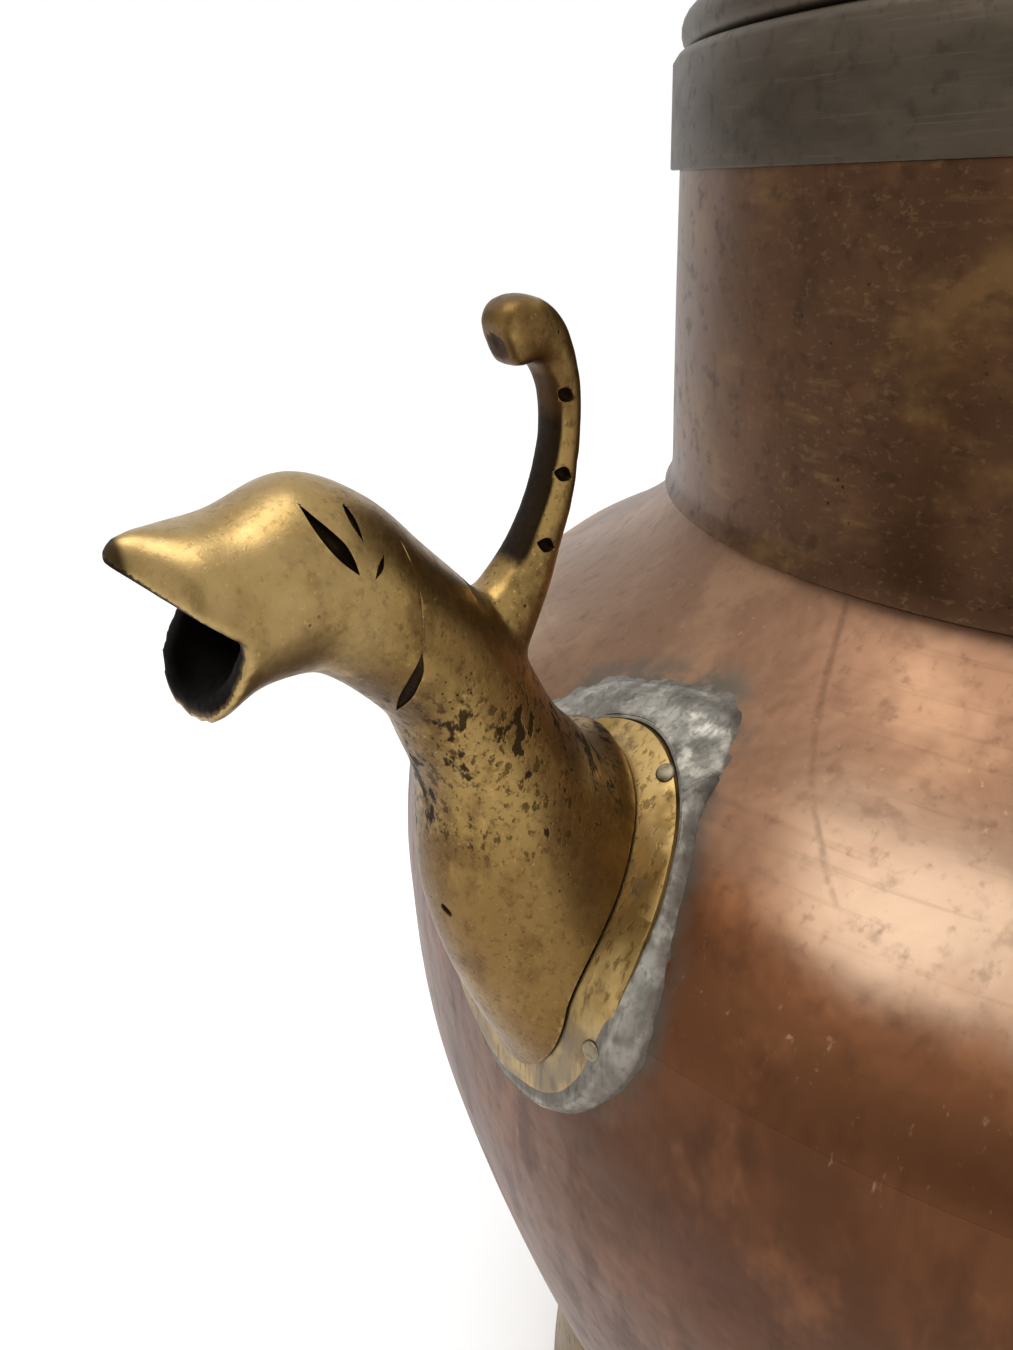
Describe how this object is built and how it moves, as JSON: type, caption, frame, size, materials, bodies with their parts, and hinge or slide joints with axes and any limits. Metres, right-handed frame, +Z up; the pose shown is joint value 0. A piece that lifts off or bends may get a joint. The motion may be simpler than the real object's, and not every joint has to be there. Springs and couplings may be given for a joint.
{
  "type": "copper jug",
  "caption": "Big round-bellied copper jug with a cast brass bird-headed spout, a hinged domed lid with a finial, a cast strap handle and a flared brass foot ring.",
  "frame": {"origin": "centre of the foot ring on the ground", "axes": "+Z up along the jug's axis, -X towards the spout, +X towards the handle and the lid's hinge"},
  "size_m": [0.3747, 0.2866, 0.3944],
  "materials": {
    "beaten_copper": "worn, hammered",
    "brown_copper": "brown patina",
    "dark_brass": "dark, handled",
    "sheet_brass": "worn",
    "cast_brass": "pitted casting, brown in the hollows",
    "flange_brass": "filed, worn",
    "solder": "dull grey, run by hand",
    "rivet_copper": "hammered heads",
    "brass_fitting": "worn"
  },
  "bodies": {
    "vessel": {"bowl": "beaten_copper", "shoulder": "beaten_copper", "neck": "brown_copper", "rim_band": "dark_brass", "foot_ring": "sheet_brass", "spout_casting": "cast_brass", "handle": "cast_brass", "spout_flange": "flange_brass", "spout_solder": "solder", "spout_rivet_1": "rivet_copper", "spout_rivet_2": "rivet_copper", "spout_rivet_3": "rivet_copper", "spout_rivet_4": "rivet_copper", "neck_hinge_bracket": "brass_fitting", "hinge_pin": "brass_fitting", "handle_rivet_upper_1": "brass_fitting", "handle_rivet_upper_2": "brass_fitting", "handle_rivet_upper_3": "brass_fitting", "handle_rivet_lower_1": "brass_fitting", "handle_rivet_lower_2": "brass_fitting", "handle_rivet_lower_3": "brass_fitting", "bracket_rivet_1": "brass_fitting", "bracket_rivet_2": "brass_fitting"},
    "lid": {"lid_rim": "dark_brass", "lid_collar": "brown_copper", "lid_dome": "brown_copper", "lid_finial_collar": "brass_fitting", "lid_finial": "brass_fitting", "lid_finial_rove": "brass_fitting", "lid_hinge_leaf": "brass_fitting", "lid_leaf_rivet_1": "brass_fitting", "lid_leaf_rivet_2": "brass_fitting"}
  },
  "joints": [
    {"name": "lid_hinge", "type": "hinge", "parent": "vessel", "child": "lid", "pos_m": [0.0977, 0, 0.3361], "axis": [0, 1, 0], "range_deg": [0, 105]}
  ]
}
